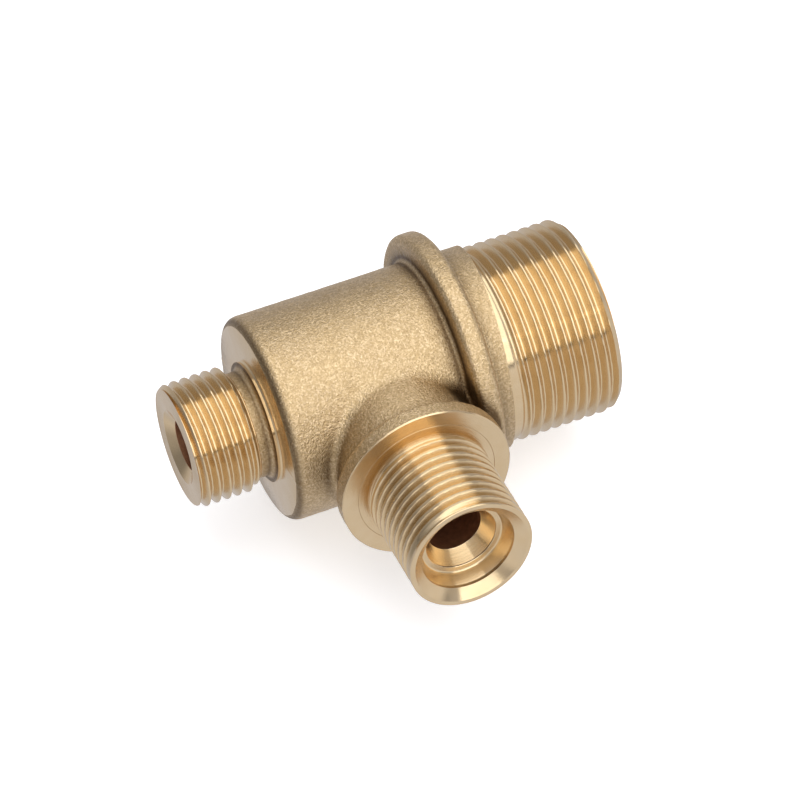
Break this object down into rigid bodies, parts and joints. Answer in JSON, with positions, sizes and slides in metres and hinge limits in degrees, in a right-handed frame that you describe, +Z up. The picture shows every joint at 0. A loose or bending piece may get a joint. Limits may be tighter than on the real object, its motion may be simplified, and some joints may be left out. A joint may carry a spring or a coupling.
{
  "type": "tee fitting",
  "caption": "Brass plumbing tee with a forged barrel and collar, a small and a large male-threaded run end and a small male-threaded branch with a counterbored seat.",
  "frame": {"origin": "the point where the run's axis and the branch's axis cross, in the middle of the chamber", "axes": "+X along the run towards the large outlet thread, -Y along the branch towards its mouth, +Z up"},
  "size_m": [0.0718, 0.065, 0.0436],
  "materials": {
    "forged_brass": "blasted forging, fine matt grain, machined bright on its end face and branch flange",
    "turned_brass": "turned bright, fine tool marks",
    "seal_rubber": "moulded black rubber"
  },
  "bodies": {
    "root": {"forged_body": "forged_brass", "inlet_tail": "turned_brass", "branch_tail": "turned_brass", "outlet_tail": "turned_brass", "inlet_seal": "seal_rubber", "branch_seal": "seal_rubber", "outlet_seal": "seal_rubber"}
  },
  "joints": []
}
